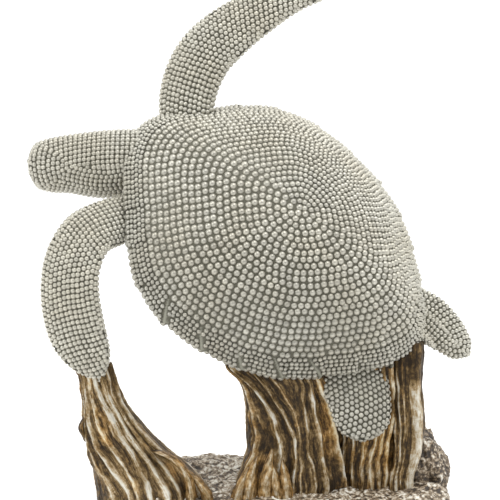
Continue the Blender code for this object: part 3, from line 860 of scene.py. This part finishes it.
def rock_edge(angle):
    """The rock's outline about its own middle."""
    way = Vector((math.cos(angle), math.sin(angle), 0))
    square = (abs(way.x) ** SQUARENESS + abs(way.y) ** SQUARENESS) ** (-1 / SQUARENESS)
    uneven = 1 + 0.045 * noise.noise(way * 2.6) + 0.02 * noise.noise(way * 9)
    reach = 0.965 * square * uneven
    return way.x * reach * BASE_LENGTH / 2, way.y * reach * BASE_DEPTH / 2


# The rock's side: how far out it is, at each share of its height
ROCK_SIDE = [(0.965, 0.0), (1.0, 0.16), (1.01, 0.42), (0.985, 0.72), (0.95, 0.92)]
# The crumbs' sizes and how far they stand out in mm, where they are cut off flat, and the boulder's
# darker tint
LARGE_CRUMB, SMALL_CRUMB = 3.4, 1.7
GRAIN = 1.4
CRUMB_TOP = 0.6
BOULDER_SHADE = -1.1
# The boulder's size, how far back it stands, and how much its top is drawn in
BOULDER_SIZE = (36.0, 48.0, 48.0)
BOULDER_BACK = 20.0
BOULDER_TAPER = 0.45
# Up to what share of the rock's height its sides reach, and where the boulder's foot is cut
SIDE_TOP = ROCK_SIDE[-1][1]
BOULDER_FOOT = 0.2 * BASE_THICKNESS


def grain(point):
    """The rock's relief at a place, with crumbs of two sizes, and how light the crumb there is."""
    at = Vector(point)
    lumps = noise.noise(at / 6.0)
    large, seat = noise.voronoi(at / LARGE_CRUMB)[:2]
    small, small_seat = noise.voronoi(at / SMALL_CRUMB + Vector((7, 3, 1)))[:2]
    relief = 0.8 * lumps + 1.1 * min(CRUMB_TOP, large[1] - large[0])
    relief = relief + 0.5 * min(CRUMB_TOP, small[1] - small[0]) - 0.5
    tint = 0.6 * noise.cell(seat[0] * 9.0) + 0.4 * noise.cell(small_seat[0] * 9.0)
    return relief, tint


def grained(name, points, faces, foot, shade):
    """A rough skin: its points moved out by the grain, and less so towards the flat underside."""
    faces = outward(points, faces)
    points = np.asarray(points, float)
    normals = skin_normals(points, faces)
    rough, tint = np.array([grain(p) for p in points]).T
    hold = np.clip((points[:, 2] - foot) / 3.0, 0, 1)
    moved = points + normals * (rough * hold * GRAIN)[:, None]
    moved[:, 2] = np.maximum(moved[:, 2], 0.0)
    return mesh_of(name, moved, faces, {"grain": rough, "tint": tint + shade})


def rock_piece(around=560, rings=64):
    """The rock, with a flat underside."""
    edge = [rock_edge(math.tau * turn / around) for turn in range(around)]
    out_at, up_at = np.array(ROCK_SIDE).T
    shares = np.linspace(0, 1, 16)
    reach = np.interp(shares, up_at / SIDE_TOP, out_at)
    profile = list(zip(reach, shares * SIDE_TOP))
    profile += [(reach[-1] * (1 - k / rings), 1.0) for k in range(1, rings)]
    points = []
    for out, share in profile:
        for x, y in edge:
            place = (BASE_CENTRE_X + x * out, y * out)
            points.append((*place, share * rock_top(*place)))
    return grained("rock", points, wrapped(len(profile), around), 0.0, 0.0)


def boulder_piece(around=150, rows=90):
    """The boulder at the rock's right end, drawn in towards its top."""
    middle = (BASE_CENTRE_X + BASE_LENGTH / 2 - BOULDER_SIZE[0] / 2, BOULDER_BACK, BASE_THICKNESS)
    points = []
    for row in range(rows):
        tilt = math.pi * (row + 0.5) / rows
        for i in range(around):
            turn = math.tau * i / around
            way = Vector((math.sin(tilt) * math.cos(turn), math.sin(tilt) * math.sin(turn), -math.cos(tilt)))
            lumps = 1 + 0.10 * noise.noise(way * 1.9) + 0.06 * noise.noise(way * 5.3)
            point = [m + s / 2 * w * lumps for m, s, w in zip(middle, BOULDER_SIZE, way)]
            point[0] = middle[0] + (point[0] - middle[0]) * (1 - BOULDER_TAPER * max(0.0, way.z))
            point[2] = max(point[2], BOULDER_FOOT)
            points.append(point)
    return grained("boulder", points, wrapped(rows, around), BOULDER_FOOT, BOULDER_SHADE)


stem_pieces = [stem_piece(name) for name in STEMS]
stem_pieces += [shard_piece(number, stations) for number, stations in enumerate(SHARDS)]
rock_pieces = [rock_piece(), boulder_piece()]


# Materials
class Nodes:
    """A node tree, with short ways to add the kinds of node that the paints and the light are made of."""

    def __init__(self, owner):
        owner.use_nodes = True
        self.nodes, self.link = owner.node_tree.nodes, owner.node_tree.links.new

    def set(self, socket, value):
        if isinstance(value, bpy.types.NodeSocket):
            self.link(value, socket)
        else:
            socket.default_value = value

    def add(self, kind, *inputs, **settings):
        """A node of a kind, with its first inputs set to numbers or linked to other nodes' outputs."""
        node = self.nodes.new("ShaderNode" + kind)
        for name, value in settings.items():
            setattr(node, name, value)
        for socket, value in zip(node.inputs, inputs):
            self.set(socket, value)
        return node

    def place(self, kind="Object"):
        return self.add("TexCoord").outputs[kind]

    def value(self, name, output="Fac"):
        """A value that the mesh carries at its points."""
        return self.add("Attribute", attribute_name=name).outputs[output]

    def math(self, operation, *inputs, clamp=False):
        return self.add("Math", *inputs, operation=operation, use_clamp=clamp).outputs[0]

    def noise(self, vector, scale, detail=3.0, stretch=None, rough=0.55):
        if stretch:
            mapping = self.add("Mapping", vector)
            mapping.inputs["Scale"].default_value = stretch
            vector = mapping.outputs["Vector"]
        node = self.add("TexNoise", vector)
        for name, value in (("Scale", scale), ("Detail", detail), ("Roughness", rough)):
            node.inputs[name].default_value = value
        return node.outputs["Fac"]

    def ramp(self, level, stops):
        """A colour ramp from (place, colour) stops, with each colour as three numbers."""
        node = self.add("ValToRGB", level)
        elements = node.color_ramp.elements
        elements[0].position, elements[1].position = stops[0][0], stops[-1][0]
        elements[0].color, elements[1].color = (*stops[0][1], 1), (*stops[-1][1], 1)
        for place, colour in stops[1:-1]:
            elements.new(place).color = (*colour, 1)
        return node.outputs["Color"]

    def mix(self, share, first, second):
        node = self.add("Mix", share, data_type="RGBA")
        self.set(node.inputs[6], first)
        self.set(node.inputs[7], second)
        return node.outputs[2]

    def shade(self, **values):
        """Sets the shader's own sockets, named with an underscore for each space."""
        for name, value in values.items():
            self.set(self.nodes["Principled BSDF"].inputs[name.replace("_", " ")], value)

    def graze(self, height, strength, distance):
        bump = self.add("Bump")
        for name, value in (("Strength", strength), ("Distance", distance), ("Height", height)):
            self.set(bump.inputs[name], value)
        self.shade(Normal=bump.outputs["Normal"])


# Paints, as linear colours
BEAD_COLOURS = [(0.35, (0.46, 0.437, 0.365)), (0.65, (0.50, 0.486, 0.423))]
# The beads' feet: dark wash, and painted shade in the crevices between beads
BEAD_FOOT_WASH_AND_SHADE = (0.10, 0.095, 0.07, 1)
# Up to where a bead's foot is dark with wash and painted shade, and over what height it turns bright, as
# shares of the radius
FOOT_TOP, FOOT_FADE = 0.14, 0.30
# How much lighter a bead is for each step of its tone, which holds its random tone and its painted shade
TONE_STEP = 0.06
GROUND_COLOURS = [(0.2, (0.085, 0.080, 0.056)), (1.0, (0.23, 0.225, 0.18))]
STEM_STEPS = (0.0, 0.20, 0.40, 0.60, 0.80, 1.0)
STEM_SILVER = (
    (0.022, 0.014, 0.007), (0.058, 0.035, 0.013), (0.155, 0.098, 0.038),
    (0.31, 0.220, 0.110), (0.50, 0.44, 0.335), (0.63, 0.61, 0.535),
)
STEM_GOLD = (
    (0.022, 0.013, 0.005), (0.065, 0.035, 0.011), (0.20, 0.108, 0.030),
    (0.40, 0.230, 0.074), (0.54, 0.40, 0.20), (0.74, 0.64, 0.44),
)
ROCK_COLOURS = [
    (0.16, (0.024, 0.015, 0.008)),
    (0.36, (0.11, 0.075, 0.042)),
    (0.51, (0.28, 0.215, 0.140)),
    (0.66, (0.50, 0.44, 0.35)),
    (0.86, (0.76, 0.74, 0.67)),
]


def new_material(name):
    made = bpy.data.materials.new(name)
    return made, Nodes(made)


def bead_material():
    """Champagne silver, uneven from bead to bead and from place to place, with the painted shade that the
    tone carries, and dark wash and painted shade at the beads' feet.
    """
    made, tree = new_material("bead_paint")
    place = tree.place()
    metal = tree.ramp(tree.noise(place, 30.0), BEAD_COLOURS)
    lift = tree.math("MULTIPLY_ADD", tree.value("rise"), 1 / FOOT_FADE, -FOOT_TOP / FOOT_FADE, clamp=True)
    bright = tree.add("HueSaturation")
    tree.set(bright.inputs["Value"], tree.math("MULTIPLY_ADD", tree.value("tone"), TONE_STEP, 1.0))
    tree.set(bright.inputs["Color"], tree.mix(lift, BEAD_FOOT_WASH_AND_SHADE, metal))
    fine = tree.noise(place, 1500.0, 2.0)
    rough = tree.math("MULTIPLY_ADD", fine, 0.2, 0.22)
    tree.shade(Base_Color=bright.outputs["Color"], Roughness=rough, Metallic=0.6)
    return made


def skin_material():
    """The dark olive ground between beads, and lighter in the slits."""
    made, tree = new_material("bead_ground")
    speck = tree.noise(tree.place(), 700.0)
    level = tree.math("MULTIPLY_ADD", speck, 0.5, tree.value("leaf"))
    rough = tree.math("MULTIPLY_ADD", speck, 0.3, 0.35)
    tree.shade(Base_Color=tree.ramp(level, GROUND_COLOURS), Metallic=0.3, Roughness=rough)
    tree.graze(speck, 0.3, 0.0004)
    return made


def stem_material():
    """Brown wash under silver and gold brushed along the ridges, broken up by fine flecks."""
    made, tree = new_material("stem_paint")
    flow = tree.value("flow", "Vector")
    streak = tree.noise(flow, 4.5, 4.0, (1, 1, 0.35), 0.65)
    hair = tree.noise(flow, 11.0, 3.0, (1, 1, 0.12), 0.65)
    fleck = tree.noise(tree.place(), 430.0, rough=0.75)
    level = tree.value("tone")
    for layer, share in ((streak, 0.8), (hair, 1.0), (fleck, 0.8)):
        level = tree.math("MULTIPLY_ADD", layer, share, level)
    level = tree.math("SUBTRACT", level, 1.3)
    warmth = tree.math("MULTIPLY_ADD", tree.noise(flow, 1.6, 3.0, (1, 1, 0.8)), 3.2, -2.1)
    warmth = tree.math("ADD", warmth, tree.value("gold"), clamp=True)
    silver, brass = (tree.ramp(level, list(zip(STEM_STEPS, paint))) for paint in (STEM_SILVER, STEM_GOLD))
    colour = tree.mix(warmth, silver, brass)
    bright = tree.math("MULTIPLY_ADD", level, 1.4, -0.5, clamp=True)
    metal = tree.math("MULTIPLY", bright, 0.25)
    rough = tree.math("MULTIPLY_ADD", bright, -0.10, 0.50)
    tree.shade(Base_Color=colour, Metallic=metal, Roughness=rough, Specular_IOR_Level=0.18)
    tree.graze(tree.math("ADD", fleck, hair), 0.6, 0.0007)
    return made


def rock_material():
    """Dark brown in the pits, tan on the slopes, and cream brushed over the tops of the crumbs."""
    made, tree = new_material("rock_paint")
    place = tree.place()
    speck = tree.noise(place, 480.0, 2.0, rough=0.7)
    patch = tree.noise(place, 55.0)
    crumbs = tree.add("TexVoronoi", place)
    crumbs.inputs["Scale"].default_value = 430.0
    own = tree.add("SeparateColor", crumbs.outputs["Color"]).outputs[0]
    level = tree.math("MULTIPLY_ADD", tree.value("grain"), 0.25, 0.52)
    layers = ((tree.value("tint"), 0.12), (speck, 1.3), (patch, 0.4), (own, 0.42))
    for layer, share in (*layers, (crumbs.outputs["Distance"], -0.4)):
        level = tree.math("MULTIPLY_ADD", layer, share, level)
    level = tree.math("SUBTRACT", level, 0.84)
    tree.shade(Base_Color=tree.ramp(level, ROCK_COLOURS), Roughness=0.55)
    tree.graze(speck, 0.6, 0.0008)
    return made


paint, ground = bead_material(), skin_material()
wood, stone = stem_material(), rock_material()
for piece in bead_pieces + skin_pieces:
    piece.data.materials.append(paint if piece in bead_pieces else ground)
    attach(piece, "root")
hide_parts("turtle")
for piece in stem_pieces + rock_pieces:
    piece.data.materials.append(wood if piece in stem_pieces else stone)
    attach(piece, "root")
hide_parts("base")

# Floor, light and camera
FLOOR_REACH = 6
corners = [(x * FLOOR_REACH, y * FLOOR_REACH, 0) for x, y in ((-1, -1), (1, -1), (1, 1), (-1, 1))]
floor_mesh = bpy.data.meshes.new("floor")
floor_mesh.from_pydata(corners, [], [(0, 1, 2, 3)])
pale, tree = new_material("pale_floor")
tree.shade(Base_Color=(0.96, 0.96, 0.96, 1), Roughness=0.9)
floor_mesh.materials.append(pale)
floor = placed("floor", floor_mesh)

# The camera looks along +Y from 8 degrees above the horizon, and frames 287.5 mm at the turtle
ELEVATION = math.radians(8)
DISTANCE = 1.6
AIM = Vector((0, 0, 0.1519))
FRAMED = 0.2875
SENSOR = 36.0
back = Vector((0, -math.cos(ELEVATION), math.sin(ELEVATION)))


def turned(obj, way):
    """Turns a camera or a light to look a way."""
    obj.rotation_mode = "QUATERNION"
    obj.rotation_quaternion = way.to_track_quat("-Z", "Y")


camera = placed("camera", bpy.data.cameras.new("camera"))
camera.location = AIM + back * DISTANCE
turned(camera, -back)
camera.data.sensor_width = SENSOR
camera.data.lens = SENSOR * DISTANCE / FRAMED
bpy.context.scene.camera = camera


def tent():
    """Even white light from all round, stronger from above, with a dark place in front for the lens."""
    world = bpy.data.worlds.new("tent")
    bpy.context.scene.world = world
    tree = Nodes(world)
    place = tree.place("Generated")
    above = Vector((0.05, 0.15, 0.98)).normalized()
    toward, over = (
        tree.add("VectorMath", place, way, operation="DOT_PRODUCT").outputs["Value"] for way in (back, above)
    )
    greys = ((0.0, 0.75), (0.55, 0.75), (0.80, 0.95), (0.90, 0.25), (1.0, 0.10))
    colour = tree.ramp(toward, [(at, (grey,) * 3) for at, grey in greys])
    tree.set(tree.nodes["Background"].inputs["Color"], colour)
    tree.set(tree.nodes["Background"].inputs["Strength"], tree.math("MULTIPLY_ADD", over, 0.80, 1.0))


def light(name, kind, power, way, place=(0, 0, 0), **settings):
    data = bpy.data.lights.new(name, kind)
    data.energy = power
    for key, value in settings.items():
        setattr(data, key, value)
    obj = placed(name, data)
    obj.location = place
    turned(obj, Vector(way))


tent()
bpy.context.scene.view_settings.view_transform = "Standard"
for name, place, size, power in (("top", (0.3, -0.3, 1.6), 1.0, 8), ("left", (-1.5, -0.7, 1.0), 0.9, 10)):
    light(name, "AREA", power, AIM - Vector(place), place, shape="DISK", size=size)
light("overhead", "SUN", 0.8, (-0.45, -0.25, -0.86), angle=math.radians(80))

bpy.context.view_layer.update()
